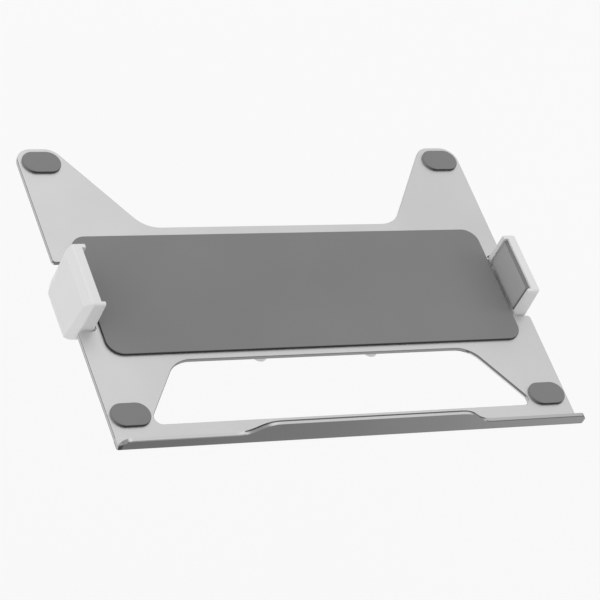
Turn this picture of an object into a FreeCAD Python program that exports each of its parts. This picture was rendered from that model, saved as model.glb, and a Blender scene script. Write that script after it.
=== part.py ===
import FreeCAD, Part
import math
import os

os.makedirs("parts", exist_ok=True)

V = FreeCAD.Vector
UP = V(0, 0, 1)

# Frame: X runs across the tray, -Y points to the lip, +Z is up.
# The origin is the middle of the four standoffs' lower ends, where the mount is bolted on.

# How far cutting tools reach past what they cut
overshoot = 1.0
tool_reach = 400.0

# Four standoffs, on the square pattern that monitor arms use
pattern_pitch = 75.0
standoff_radius = 5.3
standoff_shank_radius = 3.5
standoff_height = 8.2
standoff_chamfer = 0.4
thread_radius = 2.0
thread_depth = 9.0

# Folded tray plate
plate_thickness = 2.8
plate_bottom = standoff_height
plate_top = plate_bottom + plate_thickness
half_width = 153.4
band_back = 51.9
band_front = -46.8
arm_tip = 114.2
tip_outer_radius = 10.5
tip_inner_radius = 11.0
arm_root_radius = 18.5
arm_width = 67.5
arm_root_x = half_width - arm_width
diagonal_slope = 0.68
opening_front = -91.2
opening_margin = 54.2
opening_back_half = half_width - opening_margin
opening_back_radius = 18.5
opening_front_radius = 4.75
plate_edge_round = 0.5

# Folded front lip: low along its length, with a raised part in the middle
lip_face = -107.0
lip_low_height = 6.7
lip_high_height = 16.0
lip_low_top = plate_top + lip_low_height
lip_high_top = plate_top + lip_high_height
fold_inner_radius = 0.8
fold_strip = 7.5
lip_rise_left = -69.7
lip_rise_right = 76.2
lip_rise_length = 25.0
lip_left_end_radius = 6.6
lip_right_end_radius = 3.2
lip_right_foot_radius = 3.0
lip_right_overhang = 1.9
lip_left_corner_radius = 2.5

# Notches in the plate's sides, where the grips stand
notch_depth = 12.2
notch_x = half_width - notch_depth
notch_right_shortfall = 0.6
notch_front = -23.8
notch_back_right = 24.3
notch_back_left = 27.0
notch_root_radius = 2.5
notch_mouth_radius = 2.0

# Soft mat and corner pads, glued on the plate
pad_thickness = 1.5
mat_end_margin = 1.5
mat_half_length = notch_x - mat_end_margin
mat_shift = 0.7
mat_front = -42.2
mat_back = 45.0
mat_corner_radius = 10.0
mat_edge_round = 0.5
corner_pad_length = 24.6
corner_pad_width = 15.9
corner_pad_back_inset = 14.7
corner_pad_back_x = half_width - corner_pad_back_inset
corner_pad_back_y = 102.9
corner_pad_front_inset = 14.1
corner_pad_front_x = half_width - corner_pad_front_inset
corner_pad_front_y = -84.1

# Slide channel, a pressed hat section under the band
running_gap = 0.05
channel_end_inset = 2.2
channel_half_length = notch_x - channel_end_inset
channel_bottom = 2.2
channel_wall = 1.5
channel_flange_gap = 1.5
channel_flange_y = pattern_pitch / 2.0 - standoff_radius - channel_flange_gap
channel_floor_top = channel_bottom + channel_wall
channel_press_radius = 1.2
channel_screw_inset = 17.0
channel_screw_x = channel_half_length - channel_screw_inset
channel_screw_edge = 5.0
channel_screw_y = channel_flange_y - channel_screw_edge

# Rack and pinion that keeps the two grips in step
gear_module = 1.0
pinion_teeth = 18
pressure_angle = math.radians(20.0)
tooth_play = 0.10
pitch_radius = gear_module * pinion_teeth / 2.0
tooth_pitch = math.pi * gear_module
tip_height = gear_module
root_depth = 1.25 * gear_module
axle_radius = 2.0
axle_head_radius = 3.25
axle_head_height = 0.7
axle_head_room = 0.35
washer_height = 0.2
washer_radius = 4.5
hub_radius = 4.0

# Slide arms, flat bars with a rack on one edge and a head that carries the grip
arm_thickness = 3.0
arm_bottom = channel_floor_top + running_gap
arm_top = arm_bottom + arm_thickness
arm_outer_y = 19.0
arm_inner_y = pitch_radius + root_depth
arm_inner_end = 58.0
rack_start = -8.0
arm_head_gap = 0.6
arm_head_x = channel_half_length + arm_head_gap
arm_head_half = 14.5
arm_shoulder = 3.0

# Grips, wedge shaped shells with a soft pad on the inner side
grip_half = 22.6
grip_height = 22.7
grip_top = plate_top + grip_height
grip_bottom = -2.8
grip_foot_radius = 7.0
grip_cheek_gap = 1.1
grip_cheek_x = notch_x + grip_cheek_gap
grip_cheek_reach = 2.8
grip_inner_x = grip_cheek_x + grip_cheek_reach
grip_cheek_thickness = 2.2
grip_back_cheek_extra = 1.0
grip_cheek_drop = 6.0
grip_cheek_bottom = plate_bottom - grip_cheek_drop
grip_top_width = 5.5
grip_flat_end_x = grip_inner_x + grip_top_width
grip_brow_width = 2.6
grip_brow_height = 7.0
grip_shoulder_x = grip_flat_end_x + grip_brow_width
grip_shoulder_z = grip_top - grip_brow_height
grip_lean = 2.5
grip_foot_x = grip_shoulder_x + grip_lean
grip_front_corner_inset = 4.2
grip_back_corner_inset = 2.4
grip_front_crease_out = 4.8
grip_front_crease_lean = 1.2
grip_back_crease_out = 7.0
grip_back_crease_lean = 0.3
grip_edge_round = 1.4
grip_cheek_round = 0.7
grip_wall = 2.4
grip_inner_wall = 3.1
arm_head_end = grip_foot_x - grip_wall - 1.1

grip_pad_step = 1.2
grip_pad_face_x = grip_cheek_x + grip_pad_step
grip_pad_front_gap = 1.0
grip_pad_back_gap = 0.3
grip_room_front = grip_cheek_thickness - grip_half
grip_room_back = grip_half - grip_cheek_thickness - grip_back_cheek_extra
grip_pad_front = grip_room_front + grip_pad_front_gap
grip_pad_back = grip_room_back - grip_pad_back_gap
grip_pad_sink = 0.3
grip_pad_bottom = plate_top - grip_pad_sink
grip_pad_drop = 1.4
grip_pad_top = grip_top - grip_pad_drop
grip_pad_bevel = 1.6
grip_pad_recess = 1.2
grip_screw_inset = 3.3
grip_screw_x = grip_inner_x + grip_screw_inset
grip_screw_edge = 3.0
grip_screw_y = arm_head_half - grip_screw_edge
boss_radius = 3.0

# Screws
screw_radius = 1.5
pan_head_radius = 2.8
pan_head_height = 1.7
pan_head_round = 0.8
screw_tip_gap = 0.1
hex_across_flats = 2.0
hex_depth = 1.0
sunk_head_radius = 2.8
sunk_head_height = 1.4
grip_screw_length = 9.0
screw_clearance = 0.2
sunk_clearance = 0.1

# Slippery strips between the arms and the plate
strip_end_inset = 9.0
strip_half_length = channel_half_length - strip_end_inset
strip_side_gap = 0.3


def box(x0, x1, y0, y1, z0, z1):
    return Part.makeBox(x1 - x0, y1 - y0, z1 - z0, V(x0, y0, z0))


def rod(radius, x, y, z0, z1):
    return Part.makeCylinder(radius, z1 - z0, V(x, y, z0), UP)


def turned(profile, x, y):
    points = [V(x + r, y, z) for r, z in profile]
    points.append(points[0])
    face = Part.Face(Part.makePolygon(points))
    return face.revolve(V(x, y, 0), UP, 360)


def rounded_outline(corners):
    # Each corner is x, y and the radius that rounds it. Returns a wire at height 0.
    count = len(corners)
    starts = []
    ends = []
    middles = []
    for i in range(count):
        x, y, radius = corners[i]
        here = V(x, y, 0)
        before = V(corners[i - 1][0], corners[i - 1][1], 0)
        after = V(corners[(i + 1) % count][0], corners[(i + 1) % count][1], 0)
        to_before = (before - here).normalize()
        to_after = (after - here).normalize()
        if radius <= 0:
            starts.append(here)
            ends.append(here)
            middles.append(None)
            continue
        half = to_before.getAngle(to_after) / 2.0
        reach = radius / math.tan(half)
        inward = (to_before + to_after).normalize()
        starts.append(here + to_before * reach)
        ends.append(here + to_after * reach)
        middles.append(here + inward * (radius / math.sin(half) - radius))
    edges = []
    for i in range(count):
        if middles[i] is not None:
            edges.append(Part.Arc(starts[i], middles[i], ends[i]).toShape())
        following = starts[(i + 1) % count]
        if (following - ends[i]).Length > 1e-6:
            edges.append(Part.makeLine(ends[i], following))
    return Part.Wire(edges)


def prism(corners, z0, z1):
    face = Part.Face(rounded_outline(corners))
    face.translate(V(0, 0, z0))
    return face.extrude(V(0, 0, z1 - z0))


def upright_prism(corners, y0, y1):
    # Corners are x, z and radius. The prism runs along Y.
    face = Part.Face(rounded_outline(corners))
    face.rotate(V(0, 0, 0), V(1, 0, 0), 90)
    face.translate(V(0, y0, 0))
    return face.extrude(V(0, y1 - y0, 0))


def mirrored_x(shape):
    return shape.mirror(V(0, 0, 0), V(1, 0, 0))


def turned_about(shape, degrees):
    copy = shape.copy()
    copy.rotate(V(0, 0, 0), UP, degrees)
    return copy


def cut_beyond(shape, point, outward):
    block = Part.makeBox(tool_reach, tool_reach, tool_reach, V(-tool_reach / 2, -tool_reach / 2, 0))
    block.Placement = FreeCAD.Placement(point, FreeCAD.Rotation(UP, outward)).multiply(block.Placement)
    return shape.cut(block)


def edges_where(shape, test):
    return [edge for edge in shape.Edges if test(edge)]


def at_height(edge, height):
    return all(abs(v.Z - height) < 1e-4 for v in edge.Vertexes)


def save(node, shape):
    shape.exportStep("parts/" + node + ".step")


# Tray plate: one sheet with its front edge folded up as the lip
def half_plan(notch_root, notch_back):
    tip_inner_x = arm_root_x + diagonal_slope * (arm_tip - band_back)
    return [
        (half_width, lip_face, 0),
        (half_width, notch_front, notch_mouth_radius),
        (notch_root, notch_front, notch_root_radius),
        (notch_root, notch_back, notch_root_radius),
        (half_width, notch_back, notch_mouth_radius),
        (half_width, arm_tip, tip_outer_radius),
        (tip_inner_x, arm_tip, tip_inner_radius),
        (arm_root_x, band_back, arm_root_radius),
    ]


def tray_plan():
    right = half_plan(notch_x + notch_right_shortfall, notch_back_right)
    left = [(-x, y, radius) for x, y, radius in reversed(half_plan(notch_x, notch_back_left))]
    return right + left


def front_opening_plan():
    front_half = opening_back_half + diagonal_slope * (band_front - opening_front)
    return [
        (-front_half, opening_front, opening_front_radius),
        (front_half, opening_front, opening_front_radius),
        (opening_back_half, band_front, opening_back_radius),
        (-opening_back_half, band_front, opening_back_radius),
    ]


def folded_sheet():
    lip_back = lip_face + plate_thickness
    outer = fold_inner_radius + plate_thickness
    q = math.sqrt(0.5)
    centre_y = lip_back + fold_inner_radius
    centre_z = plate_top + fold_inner_radius
    x = -half_width
    length = 2 * half_width + lip_right_overhang

    def at(y, z):
        return V(x, y, z)

    def on_fold(radius):
        return at(centre_y - q * radius, centre_z - q * radius)

    edges = [
        Part.makeLine(at(arm_tip, plate_bottom), at(centre_y, plate_bottom)),
        Part.Arc(at(centre_y, plate_bottom), on_fold(outer), at(lip_face, centre_z)).toShape(),
        Part.makeLine(at(lip_face, centre_z), at(lip_face, lip_high_top)),
        Part.makeLine(at(lip_face, lip_high_top), at(lip_back, lip_high_top)),
        Part.makeLine(at(lip_back, lip_high_top), at(lip_back, centre_z)),
        Part.Arc(at(lip_back, centre_z), on_fold(fold_inner_radius), at(centre_y, plate_top)).toShape(),
        Part.makeLine(at(centre_y, plate_top), at(arm_tip, plate_top)),
        Part.makeLine(at(arm_tip, plate_top), at(arm_tip, plate_bottom)),
    ]
    return Part.Face(Part.Wire(edges)).extrude(V(length, 0, 0))


def lip_front_view():
    # Each rise is an S of two equal arcs, drawn as two corners rounded with their own arcs.
    rise = lip_high_top - lip_low_top
    quarter = lip_rise_length / 4.0
    lean = math.atan2(rise, lip_rise_length / 2.0)
    bend = quarter / math.tan(lean / 2.0)
    left_foot = lip_rise_left - quarter
    left_head = lip_rise_left + quarter
    right_head = lip_rise_right - quarter
    right_foot = lip_rise_right + quarter
    lip_right_end = half_width + lip_right_overhang
    return [
        (-half_width, plate_bottom, 0),
        (lip_right_end, plate_bottom, lip_right_foot_radius),
        (lip_right_end, lip_low_top, lip_right_end_radius),
        (right_foot, lip_low_top, bend),
        (right_head, lip_high_top, bend),
        (left_head, lip_high_top, bend),
        (left_foot, lip_low_top, bend),
        (-half_width, lip_low_top, lip_left_end_radius),
    ]


def lip_corner_waste(side):
    # The left end's corner is rounded in plan. The right end stands past the sheet's side.
    low = plate_bottom - overshoot
    high = lip_high_top + overshoot
    if side == "right":
        lip_root = lip_face + plate_thickness + fold_inner_radius
        end = half_width + lip_right_overhang + overshoot
        return box(half_width, end, lip_root, fold_line + overshoot, low, high)
    radius = lip_left_corner_radius
    corner = box(-half_width, -half_width + radius, lip_face, lip_face + radius, low, high)
    return corner.cut(rod(radius, -half_width + radius, lip_face + radius, low, high))


standoff_points = [
    (sx * pattern_pitch / 2.0, sy * pattern_pitch / 2.0) for sx in (-1, 1) for sy in (-1, 1)
]
channel_screw_points = [
    (x, sy * channel_screw_y) for x in (-channel_screw_x, 0.0, channel_screw_x) for sy in (-1, 1)
]

def rounded_edges(shape, test):
    return shape.makeFillet(plate_edge_round, edges_where(shape, test)).Solids[0]


def plate_rim(height):
    def test(edge):
        if all(abs(v.Y - fold_line) < 1e-4 for v in edge.Vertexes):
            return False
        return at_height(edge, height)
    return test


# The fold line parts the flat sheet, with its rounded edges, from the folded strip in front
fold_line = lip_face + fold_strip
outline = prism(tray_plan(), plate_bottom - overshoot, plate_top + overshoot)
opening = prism(front_opening_plan(), plate_bottom - overshoot, plate_top + overshoot)
flat_block = box(-half_width, half_width, fold_line, arm_tip, plate_bottom, plate_top)
flat = flat_block.common(outline).cut(opening).Solids[0]
for height in (plate_top, plate_bottom):
    flat = rounded_edges(flat, plate_rim(height))
lip_shape = upright_prism(lip_front_view(), lip_face - overshoot, fold_line)
lip = folded_sheet().common(lip_shape).Solids[0]
lip = lip.cut(lip_corner_waste("left")).cut(lip_corner_waste("right"))
tray = flat.fuse(lip)
for x, y in standoff_points:
    tray = tray.cut(rod(standoff_shank_radius, x, y, plate_bottom - overshoot, plate_top + overshoot))
for x, y in channel_screw_points:
    tray = tray.cut(rod(screw_radius, x, y, plate_bottom - overshoot, plate_top + overshoot))
save("tray_plate", tray)


# Soft pieces on top
mat = prism(
    [
        (mat_shift - mat_half_length, mat_front, mat_corner_radius),
        (mat_shift + mat_half_length, mat_front, mat_corner_radius),
        (mat_shift + mat_half_length, mat_back, mat_corner_radius),
        (mat_shift - mat_half_length, mat_back, mat_corner_radius),
    ],
    plate_top,
    plate_top + pad_thickness,
)
mat_top = edges_where(mat, lambda e: at_height(e, plate_top + pad_thickness))
save("centre_mat", mat.makeFillet(mat_edge_round, mat_top))


def corner_pad(x, y):
    half_length = corner_pad_length / 2.0
    half_pad_width = corner_pad_width / 2.0
    end_radius = half_pad_width - 0.01
    pad = prism(
        [
            (x - half_length, y - half_pad_width, end_radius),
            (x + half_length, y - half_pad_width, end_radius),
            (x + half_length, y + half_pad_width, end_radius),
            (x - half_length, y + half_pad_width, end_radius),
        ],
        plate_top,
        plate_top + pad_thickness,
    )
    top_edges = edges_where(pad, lambda e: at_height(e, plate_top + pad_thickness))
    return pad.makeFillet(mat_edge_round, top_edges)


for side, sx in (("left", -1), ("right", 1)):
    save("corner_pad_back_" + side, corner_pad(sx * corner_pad_back_x, corner_pad_back_y))
    save("corner_pad_front_" + side, corner_pad(sx * corner_pad_front_x, corner_pad_front_y))


# Standoffs pressed into the plate, each with a blind threaded hole drawn plain
def standoff(x, y):
    body = rod(standoff_radius, x, y, 0.0, standoff_height)
    lower_rim = edges_where(body, lambda e: at_height(e, 0.0))
    body = body.makeChamfer(standoff_chamfer, lower_rim)
    body = body.fuse(rod(standoff_shank_radius, x, y, standoff_height, plate_top))
    return body.cut(rod(thread_radius, x, y, -overshoot, thread_depth))


save("mount_standoffs", Part.makeCompound([standoff(x, y) for x, y in standoff_points]))


# Slide channel
channel_inner_y = arm_outer_y + running_gap
channel_outer_y = channel_inner_y + channel_wall
channel_flange_bottom = plate_bottom - channel_wall


def channel_section():
    right = [
        (channel_outer_y, channel_bottom, channel_press_radius),
        (channel_outer_y, channel_flange_bottom, 0),
        (channel_flange_y, channel_flange_bottom, 0),
        (channel_flange_y, plate_bottom, 0),
        (channel_inner_y, plate_bottom, 0),
        (channel_inner_y, channel_floor_top, 0),
    ]
    left = [(-y, z, radius) for y, z, radius in reversed(right)]
    return right + left


section = Part.Face(rounded_outline(channel_section()))
section.rotate(V(0, 0, 0), V(1, 0, 0), 90)
section.rotate(V(0, 0, 0), UP, 90)
section.translate(V(-channel_half_length, 0, 0))
channel = section.extrude(V(2 * channel_half_length, 0, 0))
for x, y in channel_screw_points:
    channel = channel.cut(rod(screw_radius + screw_clearance, x, y, channel_flange_bottom - overshoot, plate_bottom + overshoot))
channel = channel.cut(rod(axle_radius, 0.0, 0.0, channel_bottom - overshoot, channel_floor_top + overshoot))
save("slide_channel", channel)


def hex_socket(x, y, z0, z1):
    across_corners = hex_across_flats / math.cos(math.pi / 6.0)
    points = []
    for k in range(6):
        angle = k * math.pi / 3.0
        points.append((x + across_corners / 2.0 * math.cos(angle), y + across_corners / 2.0 * math.sin(angle), 0))
    return prism(points, z0, z1)


def channel_screw(x, y):
    head_bottom = channel_flange_bottom - pan_head_height
    head = rod(pan_head_radius, x, y, head_bottom, channel_flange_bottom)
    rim = edges_where(head, lambda e: at_height(e, head_bottom))
    head = head.makeFillet(pan_head_round, rim)
    screw = head.fuse(rod(screw_radius, x, y, channel_flange_bottom, plate_top - screw_tip_gap))
    return screw.cut(hex_socket(x, y, head_bottom - overshoot, head_bottom + hex_depth))


save("channel_screws", Part.makeCompound([channel_screw(x, y) for x, y in channel_screw_points]))


# Pinion with involute teeth
def involute_angle(radius, base_radius):
    ratio = max(radius / base_radius, 1.0)
    roll = math.sqrt(ratio * ratio - 1.0)
    return roll - math.atan(roll)


def pinion_outline():
    base_radius = pitch_radius * math.cos(pressure_angle)
    tip_radius = pitch_radius + tip_height
    root_radius = pitch_radius - root_depth
    half_tooth = (tooth_pitch / 2.0 - tooth_play) / (2.0 * pitch_radius)
    offset = half_tooth + involute_angle(pitch_radius, base_radius)
    flank_radii = [base_radius + (tip_radius - base_radius) * k / 6.0 for k in range(7)]
    points = []
    for tooth in range(pinion_teeth):
        middle = math.pi / 2.0 + tooth * 2.0 * math.pi / pinion_teeth
        flank = [(root_radius, offset)]
        flank += [(r, offset - involute_angle(r, base_radius)) for r in flank_radii]
        for r, spread in flank:
            points.append(V(r * math.cos(middle - spread), r * math.sin(middle - spread), 0))
        for r, spread in reversed(flank):
            points.append(V(r * math.cos(middle + spread), r * math.sin(middle + spread), 0))
    points.append(points[0])
    return Part.makePolygon(points)


pinion_bottom = channel_floor_top + washer_height + running_gap
pinion_top = arm_top
hub_top = plate_bottom - axle_head_height - axle_head_room
pinion = Part.Face(pinion_outline()).extrude(V(0, 0, pinion_top - pinion_bottom))
pinion.translate(V(0, 0, pinion_bottom))
pinion = pinion.fuse(rod(hub_radius, 0.0, 0.0, pinion_bottom, hub_top))
pinion = pinion.cut(rod(axle_radius + running_gap, 0.0, 0.0, pinion_bottom - overshoot, hub_top + overshoot))
save("drive_pinion", pinion)

washer = rod(washer_radius, 0.0, 0.0, channel_floor_top, channel_floor_top + washer_height)
washer = washer.cut(rod(axle_radius, 0.0, 0.0, channel_floor_top - overshoot, channel_floor_top + overshoot))
save("pinion_washer", washer)

axle = rod(axle_radius, 0.0, 0.0, channel_bottom, hub_top + running_gap)
axle = axle.fuse(
    rod(axle_head_radius, 0.0, 0.0, hub_top + running_gap, hub_top + running_gap + axle_head_height)
)
save("pinion_axle", axle)


# Slide arm of the left grip, with its rack behind the pinion
def rack_tooth(x):
    lean = math.tan(pressure_angle)
    half_at_pitch = (tooth_pitch / 2.0 - tooth_play) / 2.0
    half_tip = half_at_pitch - lean * tip_height
    half_root = half_at_pitch + lean * root_depth
    tip_y = pitch_radius - tip_height
    corners = [
        (x - half_tip, tip_y, 0),
        (x + half_tip, tip_y, 0),
        (x + half_root, arm_inner_y, 0),
        (x + half_root, arm_inner_y + 1.0, 0),
        (x - half_root, arm_inner_y + 1.0, 0),
        (x - half_root, arm_inner_y, 0),
    ]
    return prism(corners, arm_bottom, arm_top)


def left_arm():
    plan = [
        (-arm_head_x, arm_inner_y, 1.5),
        (arm_inner_end, arm_inner_y, 0.8),
        (arm_inner_end, arm_outer_y, 0.8),
        (-arm_head_x + 0.1, arm_outer_y, 0.5),
        (-arm_head_x - arm_shoulder, arm_head_half, 0.5),
        (-arm_head_end, arm_head_half, 1.0),
        (-arm_head_end, -arm_head_half, 1.0),
        (-arm_head_x, -arm_head_half, 1.5),
    ]
    arm = prism(plan, arm_bottom, arm_top)
    tooth_count = int((arm_inner_end - rack_start) / tooth_pitch)
    first = math.ceil(rack_start / tooth_pitch - 0.5)
    teeth = [rack_tooth((first + k + 0.5) * tooth_pitch) for k in range(tooth_count)]
    arm = arm.fuse(teeth)
    for sy in (-1, 1):
        arm = arm.cut(sunk_hole(-grip_screw_x, sy * grip_screw_y))
    return arm.removeSplitter()


def sunk_hole(x, y):
    # Countersunk from below, a little wider than the screw
    rim = sunk_head_radius + sunk_clearance
    neck = screw_radius + sunk_clearance
    profile = [
        (0.0, arm_bottom - overshoot),
        (rim, arm_bottom - overshoot),
        (rim, arm_bottom),
        (neck, arm_bottom + sunk_head_height),
        (neck, arm_top + overshoot),
        (0.0, arm_top + overshoot),
    ]
    return turned(profile, x, y)


left_slide_arm = left_arm()
right_slide_arm = turned_about(left_slide_arm, 180)
save("left_slide_arm", left_slide_arm)
save("right_slide_arm", right_slide_arm)


# Slippery strips above the arms
strip_inner_y = arm_inner_y + strip_side_gap
strip_outer_y = arm_outer_y - strip_side_gap
strip_bottom = arm_top + running_gap
save(
    "back_glide_strip",
    box(-strip_half_length, strip_half_length, strip_inner_y, strip_outer_y, strip_bottom, plate_bottom),
)
save(
    "front_glide_strip",
    box(-strip_half_length, strip_half_length, -strip_outer_y, -strip_inner_y, strip_bottom, plate_bottom),
)


# Right grip's shell, open below and hollow
def grip_side_profile(inset):
    # The grip seen along X: upright ends with rounded lower corners
    half = grip_half - inset
    corners = [
        (-half, grip_bottom, grip_foot_radius),
        (half, grip_bottom, grip_foot_radius),
        (half, grip_top, 0),
        (-half, grip_top, 0),
    ]
    face = Part.Face(rounded_outline(corners))
    face.rotate(V(0, 0, 0), V(1, 0, 0), 90)
    face.rotate(V(0, 0, 0), UP, 90)
    face.translate(V(grip_cheek_x - overshoot, 0, 0))
    return face.extrude(V(grip_foot_x - grip_cheek_x + 2 * overshoot, 0, 0))


def through_three(a, b, c, inset):
    # A point on the plane through three points, and the plane's normal, moved in by the inset
    normal = (b - a).cross(c - a).normalize()
    if normal.x < 0:
        normal = normal * -1.0
    return a - normal * inset, normal


def grip_wedge(inset):
    # The wedge that the grip is cut from, with its outer faces moved in by the inset
    half = grip_half - inset
    deep = grip_bottom - grip_foot_radius
    wedge = box(grip_cheek_x, grip_foot_x + grip_foot_radius, -half, half, deep, grip_top - inset)
    shoulder = V(grip_shoulder_x, 0, grip_shoulder_z)
    shoulder_end = V(grip_shoulder_x, grip_half, grip_shoulder_z)
    foot = V(grip_foot_x, 0, grip_bottom)
    brow = V(grip_flat_end_x, 0, grip_top)
    wedge = cut_beyond(wedge, *through_three(shoulder, shoulder_end, foot, inset))
    wedge = cut_beyond(wedge, *through_three(shoulder, shoulder_end, brow, inset))
    creases = (
        (-1, grip_front_crease_out, grip_front_crease_lean, grip_front_corner_inset),
        (1, grip_back_crease_out, grip_back_crease_lean, grip_back_corner_inset),
    )
    for sy, out, lean, corner_inset in creases:
        crease_x = grip_inner_x + out
        crease_top = V(crease_x, sy * grip_half, grip_top)
        crease_foot = V(crease_x + lean, sy * grip_half, plate_top)
        corner = V(grip_shoulder_x, sy * (grip_half - corner_inset), grip_shoulder_z)
        wedge = cut_beyond(wedge, *through_three(crease_top, crease_foot, corner, inset))
    return wedge


def grip_shell():
    # Upright cheeks at both ends stand inward past the middle part, which holds the pad
    outer = grip_wedge(0.0).Solids[0]
    inner_wall_end = grip_inner_x + grip_inner_wall
    reach = grip_foot_x + overshoot
    lowest = outer.BoundBox.ZMin

    def on_cheek(edge):
        return all(abs(v.X - grip_cheek_x) < 1e-4 for v in edge.Vertexes)

    soft = edges_where(outer, lambda e: not at_height(e, lowest) and not on_cheek(e))
    outer = outer.makeFillet(grip_edge_round, soft)
    cheek_edges = edges_where(outer, lambda e: not at_height(e, lowest) and on_cheek(e))
    outer = outer.makeFillet(grip_cheek_round, cheek_edges).common(grip_side_profile(0.0))
    room = (grip_room_front, grip_room_back)
    shell = outer.cut(box(grip_cheek_x - overshoot, grip_inner_x, *room, grip_bottom, grip_top))
    shell = shell.cut(
        box(grip_cheek_x - overshoot, grip_inner_x, -grip_half, grip_half, grip_bottom, grip_cheek_bottom)
    )
    cavity = grip_wedge(grip_wall).common(grip_side_profile(grip_wall))
    cavity = cavity.common(box(inner_wall_end, reach, -grip_half, grip_half, grip_bottom, grip_top))
    shell = shell.cut(cavity)
    shell = shell.cut(
        box(grip_cheek_x - overshoot, inner_wall_end, *room, grip_bottom, arm_top)
    )
    hole_top = arm_bottom + grip_screw_length + overshoot
    for sy in (-1, 1):
        y = sy * grip_screw_y
        boss = rod(boss_radius, grip_screw_x, y, arm_top, grip_top)
        shell = shell.fuse(boss.common(grip_wedge(overshoot)))
        shell = shell.cut(rod(screw_radius, grip_screw_x, y, arm_bottom, hole_top))
    recess_end = grip_inner_x + grip_pad_recess
    recess_front = grip_pad_front - running_gap
    recess_back = grip_pad_back + running_gap
    recess_bottom = grip_pad_bottom - running_gap
    recess_top = grip_pad_top + running_gap
    shell = shell.cut(
        box(grip_inner_x - overshoot, recess_end, recess_front, recess_back, recess_bottom, recess_top)
    )
    return shell.removeSplitter()


def grip_pad():
    # The face's top and front edges are bevelled
    pad = box(
        grip_pad_face_x,
        grip_inner_x + grip_pad_recess,
        grip_pad_front,
        grip_pad_back,
        grip_pad_bottom,
        grip_pad_top,
    )

    def bevelled(edge):
        if any(abs(v.X - grip_pad_face_x) > 1e-6 for v in edge.Vertexes):
            return False
        return at_height(edge, grip_pad_top) or all(abs(v.Y - grip_pad_front) < 1e-6 for v in edge.Vertexes)

    return pad.makeChamfer(grip_pad_bevel, edges_where(pad, bevelled))


def grip_screws():
    screws = []
    for sy in (-1, 1):
        profile = [
            (0.0, arm_bottom),
            (sunk_head_radius, arm_bottom),
            (screw_radius, arm_bottom + sunk_head_height),
            (screw_radius, arm_bottom + grip_screw_length),
            (0.0, arm_bottom + grip_screw_length),
        ]
        screw = turned(profile, grip_screw_x, sy * grip_screw_y)
        socket = hex_socket(grip_screw_x, sy * grip_screw_y, arm_bottom - overshoot, arm_bottom + hex_depth)
        screws.append(screw.cut(socket))
    return Part.makeCompound(screws)


right_shell = grip_shell()
right_pad = grip_pad()
right_screws = grip_screws()
save("right_grip_shell", right_shell)
save("right_grip_pad", right_pad)
save("right_grip_screws", right_screws)
save("left_grip_shell", mirrored_x(right_shell))
save("left_grip_pad", mirrored_x(right_pad))
save("left_grip_screws", mirrored_x(right_screws))
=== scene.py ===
import bpy
from mathutils import Matrix, Vector

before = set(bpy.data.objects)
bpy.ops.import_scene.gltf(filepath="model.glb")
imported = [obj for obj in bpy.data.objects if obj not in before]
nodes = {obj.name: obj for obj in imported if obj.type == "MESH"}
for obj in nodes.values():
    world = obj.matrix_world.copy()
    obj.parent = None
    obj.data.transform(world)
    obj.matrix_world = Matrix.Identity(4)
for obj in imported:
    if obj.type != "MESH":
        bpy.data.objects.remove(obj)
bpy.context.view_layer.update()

# Lengths are in metres, X across the tray, -Y towards the lip, Z up.
# A tone is one number for a grey: 0 is black, 1 is white.

# Camera, solved from the object's straight edges
CAMERA_AT = Vector((-0.81793, -0.91869, 1.18863))
CAMERA_RIGHT = Vector((0.87681, -0.31874, 0.36002))
CAMERA_DOWN = Vector((-0.02758, -0.78083, -0.62413))
CAMERA_FORWARD = Vector((0.48005, 0.53732, -0.69343))
CAMERA_REACH = 60.0
FOCAL_PIXELS = 2842.4
FRAME_PIXELS = 600.0
SENSOR_MM = 36.0

# Floor and backdrop
FLOOR_Z = -0.32
FLOOR_SIDE = 12.0
FLOOR_TONE = 0.66
FLOOR_ROUGHNESS = 0.9
SEEN_FLOOR_TONE = 0.30
SEEN_FLOOR_GLOW = 0.685
BACKDROP_TONE = 0.956

# The sky's light: where it is brightest, and its tones from the far side to there
SKY_LIGHT = (0.25, 1.0, 0.35)
SKY_TONES = [(0.0, 0.85), (0.3, 0.65), (0.55, 0.5), (0.86, 0.66), (0.94, 0.95), (1.0, 1.1)]

# Name, place, aim, side of the square, watts
LAMPS = [
    ("key_lamp", (-0.3, 1.5, 1.7), (0, 0, 0), 1.2, 6.0),
    ("fill_lamp", (-3.2, 0.2, 2.0), (0, 0.2, 2.0), 4.4, 42.0),
    ("side_lamp", (1.8, -0.3, 1.0), (0, 0, 0), 1.0, 6.0),
]

# Heights on the sheet's cut sides, which run from 0.0082 to 0.0110, where their painted shade and painted
# highlight change
SIDE_FOOT_Z = 0.0089
SIDE_SPLIT_Z = 0.0094
SIDE_TOP_Z = 0.0105

# The lip: its back, the two painted lines of dark reflection on its narrow top face, and the heights of that
# face
LIP_BACK_Y = -0.1040
RIM_BACK_LINE_Y = -0.1052
RIM_FRONT_LINE_Y = -0.1063
LOW_RIM_Z = 0.0168
HIGH_RIM_Z = 0.0185
LIP_LENGTHS_PER_METRE = 3.33

# Grain of the finishes
GRAIN_DETAIL = 3.0
GRAIN_ROUGHNESS = 0.6
GRAIN_WEIGHT = 0.45
CLOUD_SCALE = 14.0
CLOUD_DETAIL = 2.0
TONE_RANGE = (0.45, 0.95)
ROUGHNESS_SPREAD = 0.03
GRAIN_DEPTH = 0.00005


def feed(tree, socket, value):
    """Links a node's output to a socket, or sets a plain value on it."""
    if isinstance(value, bpy.types.NodeSocket):
        tree.links.new(value, socket)
    else:
        socket.default_value = value


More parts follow.
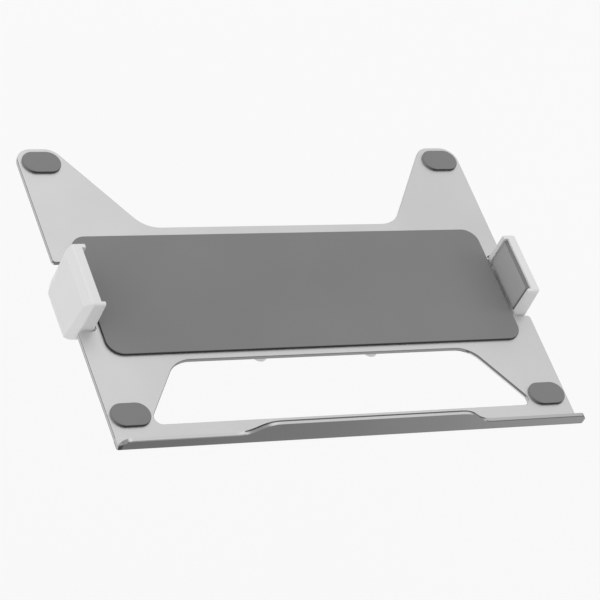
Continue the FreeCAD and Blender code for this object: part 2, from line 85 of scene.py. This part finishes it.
def node_tree(name):
    """A new material with an empty shader on its output."""
    material = bpy.data.materials.new(name)
    material.use_nodes = True
    tree = material.node_tree
    tree.nodes.clear()
    output = tree.nodes.new("ShaderNodeOutputMaterial")
    shader = tree.nodes.new("ShaderNodeBsdfPrincipled")
    tree.links.new(shader.outputs["BSDF"], output.inputs["Surface"])
    return material, tree, shader


def object_coordinates(tree, scale=(1, 1, 1)):
    coordinates = tree.nodes.new("ShaderNodeTexCoord")
    mapping = tree.nodes.new("ShaderNodeMapping")
    mapping.inputs["Scale"].default_value = scale
    tree.links.new(coordinates.outputs["Object"], mapping.inputs["Vector"])
    return mapping.outputs["Vector"]


def split(tree, vector):
    parts = tree.nodes.new("ShaderNodeSeparateXYZ")
    tree.links.new(vector, parts.inputs["Vector"])
    return parts.outputs


def position(tree):
    """The surface's place on the object, as X, Y and Z."""
    return split(tree, object_coordinates(tree))


def direction(tree):
    """The direction that the surface faces, as X, Y and Z."""
    geometry = tree.nodes.new("ShaderNodeNewGeometry")
    return split(tree, geometry.outputs["Normal"])


def noise(tree, vector, scale, detail, roughness=0.5):
    node = tree.nodes.new("ShaderNodeTexNoise")
    node.inputs["Scale"].default_value = scale
    node.inputs["Detail"].default_value = detail
    node.inputs["Roughness"].default_value = roughness
    tree.links.new(vector, node.inputs["Vector"])
    return node.outputs["Fac"]


def ramp(tree, factor, stops):
    """Tones along a factor, from pairs of a place and a tone."""
    node = tree.nodes.new("ShaderNodeValToRGB")
    elements = node.color_ramp.elements
    while len(elements) < len(stops):
        elements.new(0.5)
    for element, (place, tone) in zip(elements, stops):
        element.position = place
        element.color = (tone, tone, tone, 1.0)
    tree.links.new(factor, node.inputs["Fac"])
    return node.outputs["Color"]


def map_range(tree, value, before, after):
    node = tree.nodes.new("ShaderNodeMapRange")
    node.inputs["From Min"].default_value, node.inputs["From Max"].default_value = before
    node.inputs["To Min"].default_value, node.inputs["To Max"].default_value = after
    tree.links.new(value, node.inputs["Value"])
    return node.outputs["Result"]


def maths(tree, operation, *values):
    node = tree.nodes.new("ShaderNodeMath")
    node.operation = operation
    for socket, value in zip(node.inputs, values):
        feed(tree, socket, value)
    return node.outputs["Value"]


def above(tree, value, limit):
    return maths(tree, "GREATER_THAN", value, limit)


def below(tree, value, limit):
    return maths(tree, "LESS_THAN", value, limit)


def size_of(tree, value):
    return maths(tree, "ABSOLUTE", value)


def product(tree, first, *others):
    for other in others:
        first = maths(tree, "MULTIPLY", first, other)
    return first


def inverse(tree, value):
    return maths(tree, "SUBTRACT", 1.0, value)


def multiplied(tree, shader, factor):
    """Multiplies the finish's colour by a factor."""
    source = shader.inputs["Base Color"].links[0].from_socket
    node = tree.nodes.new("ShaderNodeMix")
    node.data_type = "RGBA"
    node.blend_type = "MULTIPLY"
    node.inputs["Factor"].default_value = 1.0
    tree.links.new(source, node.inputs["A"])
    tree.links.new(factor, node.inputs["B"])
    tree.links.new(node.outputs["Result"], shader.inputs["Base Color"])


def shaded(tree, shader, value, brightest=1.0):
    """Multiplies the finish's colour by a number from 0 up to the brightest."""
    multiplied(tree, shader, ramp(tree, value, [(0.0, 0.0), (1.0, brightest)]))


def bump(tree, shader, height, strength):
    node = tree.nodes.new("ShaderNodeBump")
    node.inputs["Strength"].default_value = strength
    node.inputs["Distance"].default_value = GRAIN_DEPTH
    tree.links.new(height, node.inputs["Height"])
    tree.links.new(node.outputs["Normal"], shader.inputs["Normal"])


def surface(name, dark, light, roughness, speckle, metallic=0.0, stretch=(1, 1, 1), relief=0.05):
    """A finish whose tone and roughness vary a little over a fine procedural grain."""
    material, tree, shader = node_tree(name)
    vector = object_coordinates(tree, stretch)
    grain = noise(tree, vector, speckle, GRAIN_DETAIL, GRAIN_ROUGHNESS)
    cloud = noise(tree, vector, CLOUD_SCALE, CLOUD_DETAIL)
    both = maths(tree, "MULTIPLY_ADD", grain, GRAIN_WEIGHT, cloud)
    tone = ramp(tree, both, list(zip(TONE_RANGE, (dark, light))))
    tree.links.new(tone, shader.inputs["Base Color"])
    rough = (roughness - ROUGHNESS_SPREAD, roughness + ROUGHNESS_SPREAD)
    tree.links.new(map_range(tree, grain, (0.0, 1.0), rough), shader.inputs["Roughness"])
    shader.inputs["Metallic"].default_value = metallic
    bump(tree, shader, grain, relief)
    return material, tree, shader


# Satin aluminium, with painted shade, highlights and reflections on its edges, sides and lip
def aluminium_finish_and_painted_light():
    material, tree, shader = surface("satin_aluminium_look", 0.535, 0.59, 0.42, speckle=1400.0, metallic=1.0)
    facing = direction(tree)
    place = position(tree)
    level = size_of(tree, facing["Z"])
    aside = size_of(tree, facing["X"])

    # Painted shade: the sheet's rounded edges are darker than its faces, except where they face back
    edges = ramp(tree, level, [(0.0, 0.9), (0.3, 0.7), (0.6, 0.3), (0.9, 0.4), (0.985, 1.0)])
    not_back = map_range(tree, facing["Y"], (0.1, 0.4), (1.0, 0.15))
    shaded(tree, shader, inverse(tree, product(tree, inverse(tree, edges), not_back)))

    # Painted shade: cut sides that face left or right have a dark line at the foot and a faint one at the
    # top
    top_line = product(tree, above(tree, place["Z"], SIDE_TOP_Z), 0.2)
    lines = maths(tree, "MULTIPLY_ADD", below(tree, place["Z"], SIDE_FOOT_Z), 0.55, top_line)
    shaded(tree, shader, inverse(tree, product(tree, lines, above(tree, aside, 0.9))), brightest=1.05)

    # Painted shade and painted highlight: slanting sides that face front are painted dark above and pale
    # below
    slanting = product(
        tree,
        above(tree, aside, 0.4),
        below(tree, facing["Y"], -0.3),
        below(tree, level, 0.95),
    )
    upper = product(tree, slanting, above(tree, place["Z"], SIDE_SPLIT_Z))
    lower = maths(tree, "SUBTRACT", slanting, upper)
    tone = maths(tree, "MULTIPLY_ADD", upper, -0.35, 0.6)
    tone = maths(tree, "MULTIPLY_ADD", lower, 0.4, tone)
    multiplied(tree, shader, ramp(tree, tone, [(0.0, 0.0), (0.6, 1.0), (1.0, 1.45)]))

    # Painted shade standing in for dark reflections: sides that face straight front are darker, the lip's
    # front most, and more so on its left
    lip_front = product(tree, below(tree, facing["Y"], -0.3), below(tree, place["Y"], LIP_BACK_Y))
    other_front = product(tree, below(tree, facing["Y"], -0.85), above(tree, place["Y"], LIP_BACK_Y))
    along = maths(tree, "MULTIPLY_ADD", place["X"], LIP_LENGTHS_PER_METRE, 0.5)
    lip_shade = ramp(tree, along, [(0.0, 0.71), (0.5, 0.62), (1.0, 0.45)])
    other_shade = product(tree, other_front, 0.45)
    shaded(tree, shader, inverse(tree, maths(tree, "MULTIPLY_ADD", lip_front, lip_shade, other_shade)))

    # Painted reflection: the lip's narrow top face is darkened a little, with a dark line at its back where
    # it is high, else at its front, and more where it is low on the right
    on_rim = product(
        tree,
        below(tree, place["Y"], LIP_BACK_Y),
        above(tree, place["Z"], LOW_RIM_Z),
        above(tree, level, 0.3),
    )
    high = above(tree, place["Z"], HIGH_RIM_Z)
    low = inverse(tree, high)
    back_line = product(tree, high, above(tree, place["Y"], RIM_BACK_LINE_Y))
    front_line = product(tree, low, below(tree, place["Y"], RIM_FRONT_LINE_Y))
    low_right = product(tree, low, above(tree, place["X"], 0.0))
    shade = maths(tree, "MULTIPLY_ADD", back_line, 0.75, 0.04)
    shade = maths(tree, "MULTIPLY_ADD", front_line, 0.5, shade)
    shade = maths(tree, "MULTIPLY_ADD", low_right, 0.2, shade)
    shaded(tree, shader, inverse(tree, product(tree, on_rim, shade)))
    return material


def soft_rubber(name):
    material, tree, shader = surface(name, 0.215, 0.235, 0.75, speckle=1600.0, relief=0.15)
    shader.inputs["Specular IOR Level"].default_value = 0.25
    return material, tree, shader


def mat_finish_and_painted_shade():
    """Painted shade: the mat's sides, which don't face up, are darkened nearly to black."""
    material, tree, shader = soft_rubber("mat_rubber_look")
    multiplied(tree, shader, ramp(tree, direction(tree)["Z"], [(0.3, 0.15), (0.8, 0.5), (0.97, 1.0)]))
    return material


def corner_pad_finish_and_painted_light():
    """Painted light and shade: the corner pads' sides are darkened, and painted paler where they face left
    or right.
    """
    material, tree, shader = soft_rubber("pad_rubber_look")
    facing = direction(tree)
    side = ramp(tree, size_of(tree, facing["X"]), [(0.3, 0.2), (0.95, 1.0)])
    top = ramp(tree, facing["Z"], [(0.3, 0.0), (0.97, 1.0)])
    shaded(tree, shader, maths(tree, "MAXIMUM", side, top))
    return material


def grip_pad_finish_and_painted_shade():
    """Painted shade: the grips' pads are darkened on bevels and sides that turn away from facing left or
    right.
    """
    material, tree, shader = surface("grip_rubber_look", 0.40, 0.42, 0.7, speckle=1600.0, relief=0.15)
    aside = size_of(tree, direction(tree)["X"])
    multiplied(tree, shader, ramp(tree, aside, [(0.5, 0.2), (0.8, 0.6), (0.95, 1.0)]))
    return material


aluminium = aluminium_finish_and_painted_light()
mat = mat_finish_and_painted_shade()
corner_pad = corner_pad_finish_and_painted_light()
plastic, _, _ = surface("grip_plastic_look", 0.80, 0.82, 0.38, speckle=1200.0, relief=0.03)
grip_pad = grip_pad_finish_and_painted_shade()
steel, _, _ = surface("plated_steel_look", 0.56, 0.62, 0.33, speckle=700.0, metallic=1.0, stretch=(1, 8, 8))
channel_steel, _, _ = surface("channel_steel_look", 0.46, 0.50, 0.5, speckle=1500.0, relief=0.2)
acetal, _, _ = surface("slide_acetal_look", 0.045, 0.06, 0.45, speckle=900.0)
black_steel, _, _ = surface("screw_steel_look", 0.06, 0.09, 0.4, speckle=1100.0, metallic=0.7)

LOOKS = {
    "tray_plate": aluminium,
    "centre_mat": mat,
    "corner_pad_back_left": corner_pad,
    "corner_pad_back_right": corner_pad,
    "corner_pad_front_left": corner_pad,
    "corner_pad_front_right": corner_pad,
    "mount_standoffs": steel,
    "slide_channel": channel_steel,
    "channel_screws": black_steel,
    "back_glide_strip": acetal,
    "front_glide_strip": acetal,
    "pinion_axle": steel,
    "pinion_washer": steel,
    "drive_pinion": acetal,
    "left_slide_arm": steel,
    "right_slide_arm": steel,
    "left_grip_shell": plastic,
    "right_grip_shell": plastic,
    "left_grip_pad": grip_pad,
    "right_grip_pad": grip_pad,
    "left_grip_screws": black_steel,
    "right_grip_screws": black_steel,
}
for name, look in LOOKS.items():
    for slot in nodes[name].material_slots:
        slot.material = look


def background_ray(tree):
    """1 for the camera's rays and for those that metal and glass send on."""
    path = tree.nodes.new("ShaderNodeLightPath")
    mirrored = maths(tree, "MAXIMUM", path.outputs["Is Glossy Ray"], path.outputs["Is Transmission Ray"])
    return maths(tree, "MAXIMUM", path.outputs["Is Camera Ray"], mirrored)


def floor_finish():
    """Plain and pale, nearly white to the camera and in the metal."""
    material, tree, shader = node_tree("floor_look")
    output = next(node for node in tree.nodes if node.type == "OUTPUT_MATERIAL")
    shader.inputs["Base Color"].default_value = (FLOOR_TONE, FLOOR_TONE, FLOOR_TONE, 1)
    shader.inputs["Roughness"].default_value = FLOOR_ROUGHNESS
    seen = tree.nodes.new("ShaderNodeBsdfDiffuse")
    seen.inputs["Color"].default_value = (SEEN_FLOOR_TONE, SEEN_FLOOR_TONE, SEEN_FLOOR_TONE, 1)
    glow = tree.nodes.new("ShaderNodeEmission")
    glow.inputs["Color"].default_value = (1, 1, 1, 1)
    glow.inputs["Strength"].default_value = SEEN_FLOOR_GLOW
    pale = tree.nodes.new("ShaderNodeAddShader")
    tree.links.new(seen.outputs["BSDF"], pale.inputs[0])
    tree.links.new(glow.outputs["Emission"], pale.inputs[1])
    mix = tree.nodes.new("ShaderNodeMixShader")
    tree.links.new(background_ray(tree), mix.inputs["Fac"])
    tree.links.new(shader.outputs["BSDF"], mix.inputs[1])
    tree.links.new(pale.outputs["Shader"], mix.inputs[2])
    tree.links.new(mix.outputs["Shader"], output.inputs["Surface"])
    return material


bpy.ops.mesh.primitive_plane_add(size=FLOOR_SIDE, location=(0, 0, FLOOR_Z))
floor = bpy.context.object
floor.name = "floor"
floor.data.materials.append(floor_finish())


def sky():
    """Plain sky, brightest behind the object."""
    world = bpy.data.worlds.new("studio")
    bpy.context.scene.world = world
    world.use_nodes = True
    tree = world.node_tree
    tree.nodes.clear()
    output = tree.nodes.new("ShaderNodeOutputWorld")
    background = tree.nodes.new("ShaderNodeBackground")
    coordinates = tree.nodes.new("ShaderNodeTexCoord")
    toward_light = tree.nodes.new("ShaderNodeVectorMath")
    toward_light.operation = "DOT_PRODUCT"
    toward_light.inputs[1].default_value = Vector(SKY_LIGHT).normalized()
    tree.links.new(coordinates.outputs["Generated"], toward_light.inputs[0])
    nearness = map_range(tree, toward_light.outputs["Value"], (-1.0, 1.0), (0.0, 1.0))
    mix = tree.nodes.new("ShaderNodeMix")
    mix.data_type = "RGBA"
    tree.links.new(background_ray(tree), mix.inputs["Factor"])
    tree.links.new(ramp(tree, nearness, SKY_TONES), mix.inputs["A"])
    mix.inputs["B"].default_value = (BACKDROP_TONE, BACKDROP_TONE, BACKDROP_TONE, 1)
    tree.links.new(mix.outputs["Result"], background.inputs["Color"])
    tree.links.new(background.outputs["Background"], output.inputs["Surface"])


sky()


def area_lamp(name, at, aim, side, power):
    data = bpy.data.lights.new(name, "AREA")
    data.shape = "SQUARE"
    data.size = side
    data.energy = power
    lamp = bpy.data.objects.new(name, data)
    bpy.context.scene.collection.objects.link(lamp)
    lamp.location = at
    lamp.rotation_euler = (Vector(aim) - Vector(at)).to_track_quat("-Z", "Y").to_euler()


for lamp in LAMPS:
    area_lamp(*lamp)

camera_data = bpy.data.cameras.new("camera")
camera_data.sensor_width = SENSOR_MM
camera_data.lens = FOCAL_PIXELS / FRAME_PIXELS * SENSOR_MM
camera_data.clip_end = CAMERA_REACH
camera = bpy.data.objects.new("camera", camera_data)
bpy.context.scene.collection.objects.link(camera)
axes = (CAMERA_RIGHT.normalized(), -CAMERA_DOWN.normalized(), -CAMERA_FORWARD.normalized())
camera.matrix_world = Matrix.Translation(CAMERA_AT) @ Matrix(axes).transposed().to_4x4()
bpy.context.scene.camera = camera
bpy.context.scene.view_settings.view_transform = "Standard"
